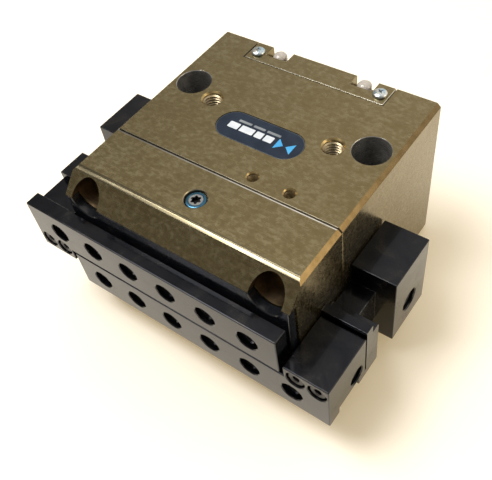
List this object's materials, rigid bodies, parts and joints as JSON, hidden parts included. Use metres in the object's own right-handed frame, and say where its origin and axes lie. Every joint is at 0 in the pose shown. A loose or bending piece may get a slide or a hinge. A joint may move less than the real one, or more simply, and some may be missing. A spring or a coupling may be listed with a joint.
{
  "type": "pneumatic gripper",
  "caption": "Parallel gripper: block housing with flush sensor bracket, threaded air ports and deep mounting holes, and sliding jaws on round guide rods driven by a piston and wedge hook.",
  "frame": {"origin": "centre of the rear mounting face, on the gripper's centre line", "axes": "+X along the stroke, towards the right-hand jaw's opening direction; +Y out of the rear mounting face, so the fingers point along -Y; +Z out of the label side. The jaws are closed at rest."},
  "size_m": [0.0874, 0.0693, 0.0457],
  "materials": {
    "housing_anodised": "hard-anodised olive-bronze, satin, faintly mottled",
    "front_cover_black": "black, glossy",
    "jaw_burnished_steel": "hardened steel, black burnished, oiled gloss",
    "ground_steel": "hardened and ground",
    "zinc_plated_screw": "zinc plated, blue passivated",
    "black_oxide_screw": "black oxide",
    "bronze_bush": "sintered bronze, oiled",
    "seal_rubber": "matte",
    "label_navy": "dark navy film label, glossy",
    "plug_plastic": "pale translucent plastic, glossy",
    "spring_steel": "drawn spring wire",
    "piston_aluminium": "machined",
    "magnet": "nickel plated"
  },
  "bodies": {
    "housing": {"bracket_screw_1": "zinc_plated_screw", "bracket_screw_2": "zinc_plated_screw", "cover_screw_1": "zinc_plated_screw", "cover_screw_2": "zinc_plated_screw", "cover_screw_3": "zinc_plated_screw", "cover_screw_4": "zinc_plated_screw", "cover_seal": "seal_rubber", "cylinder_cover": "housing_anodised", "cylinder_housing": "housing_anodised", "dowel_pin_1": "ground_steel", "dowel_pin_2": "ground_steel", "front_cover": "front_cover_black", "front_cover_screw_1": "black_oxide_screw", "front_cover_screw_2": "black_oxide_screw", "guide_bush_front_lower_left": "bronze_bush", "guide_bush_front_lower_right": "bronze_bush", "guide_bush_front_upper_left": "bronze_bush", "guide_bush_front_upper_right": "bronze_bush", "guide_bush_rear_lower_left": "bronze_bush", "guide_bush_rear_lower_right": "bronze_bush", "guide_bush_rear_upper_left": "bronze_bush", "guide_bush_rear_upper_right": "bronze_bush", "guide_housing": "housing_anodised", "housing_screw_1": "zinc_plated_screw", "housing_screw_2": "zinc_plated_screw", "housing_screw_3": "zinc_plated_screw", "housing_screw_4": "zinc_plated_screw", "label_plate": "label_navy", "lube_plug": "zinc_plated_screw", "rod_bush": "bronze_bush", "rod_seal": "seal_rubber", "sensor_bracket": "housing_anodised", "sensor_plug_1": "plug_plastic", "sensor_plug_2": "plug_plastic", "spring_1": "spring_steel", "spring_2": "spring_steel"},
    "jaw_left": {"bar_screw_1_left": "black_oxide_screw", "bar_screw_2_left": "black_oxide_screw", "drive_block_left": "ground_steel", "finger_bar_left": "jaw_burnished_steel", "guide_rod_front_left": "ground_steel", "guide_rod_rear_left": "ground_steel", "jaw_carrier_left": "jaw_burnished_steel", "rod_screw_front_left": "black_oxide_screw", "rod_screw_rear_left": "black_oxide_screw"},
    "jaw_right": {"bar_screw_1_right": "black_oxide_screw", "bar_screw_2_right": "black_oxide_screw", "drive_block_right": "ground_steel", "finger_bar_right": "jaw_burnished_steel", "guide_rod_front_right": "ground_steel", "guide_rod_rear_right": "ground_steel", "jaw_carrier_right": "jaw_burnished_steel", "rod_screw_front_right": "black_oxide_screw", "rod_screw_rear_right": "black_oxide_screw"},
    "piston_group": {"piston": "piston_aluminium", "piston_rod": "ground_steel", "piston_screw": "black_oxide_screw", "piston_seal": "seal_rubber", "sensing_magnet": "magnet", "wedge_hook": "ground_steel"}
  },
  "joints": [
    {"name": "jaw_left_slide", "type": "slide", "parent": "housing", "child": "jaw_left", "axis": [-1, 0, 0], "range_m": [0, 0.01]},
    {"name": "jaw_right_slide", "type": "slide", "parent": "housing", "child": "jaw_right", "axis": [1, 0, 0], "range_m": [0, 0.01]},
    {"name": "piston_slide", "type": "slide", "parent": "housing", "child": "piston_group", "axis": [0, 1, 0], "range_m": [0, 0.01], "stiffness_N_per_m": 3000, "springref_m": -0.006, "deforming": ["spring_1", "spring_2"]}
  ],
  "couplings": [
    {"joint": "jaw_right_slide", "follows": "jaw_left_slide", "ratio": 1},
    {"joint": "piston_slide", "follows": "jaw_left_slide", "ratio": 1}
  ]
}
